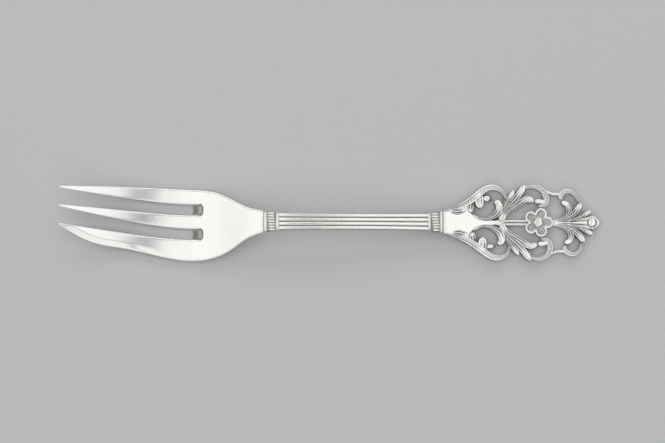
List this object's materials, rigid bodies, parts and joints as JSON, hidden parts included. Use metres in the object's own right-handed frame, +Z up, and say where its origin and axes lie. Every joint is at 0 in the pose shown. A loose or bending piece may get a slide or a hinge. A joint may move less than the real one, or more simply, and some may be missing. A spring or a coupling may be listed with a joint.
{
  "type": "pastry fork",
  "caption": "Pastry fork with slim tines and a broad bevelled cutting tine, a reeded stem between beaded collars and a flat openwork finial of scrolls, leaves and a rosette.",
  "frame": {"origin": "middle of the fork's outline box, on the table plane under it", "axes": "+X from the tines towards the finial, +Y towards the fork's right side (the narrow outer tine), +Z up, away from the table"},
  "size_m": [0.14, 0.0201, 0.0079],
  "materials": {
    "polished_silver": "polished silver with fine wear scratches",
    "chased_silver": "chased silver, bright on the ridges and darkened in the hollows"
  },
  "bodies": {
    "root": {"fork_head": "polished_silver", "neck_collar": "chased_silver", "stem": "polished_silver", "finial_collar": "chased_silver", "shoulder": "polished_silver", "stalk": "chased_silver", "rosette": "chased_silver", "rosette_bead": "chased_silver", "end_spray": "chased_silver", "tip_bead": "polished_silver", "right_outer_scroll": "chased_silver", "right_leaf_spray": "chased_silver", "right_middle_scroll": "chased_silver", "right_end_scroll": "chased_silver", "left_outer_scroll": "chased_silver", "left_leaf_spray": "chased_silver", "left_middle_scroll": "chased_silver", "left_end_scroll": "chased_silver"}
  },
  "joints": []
}
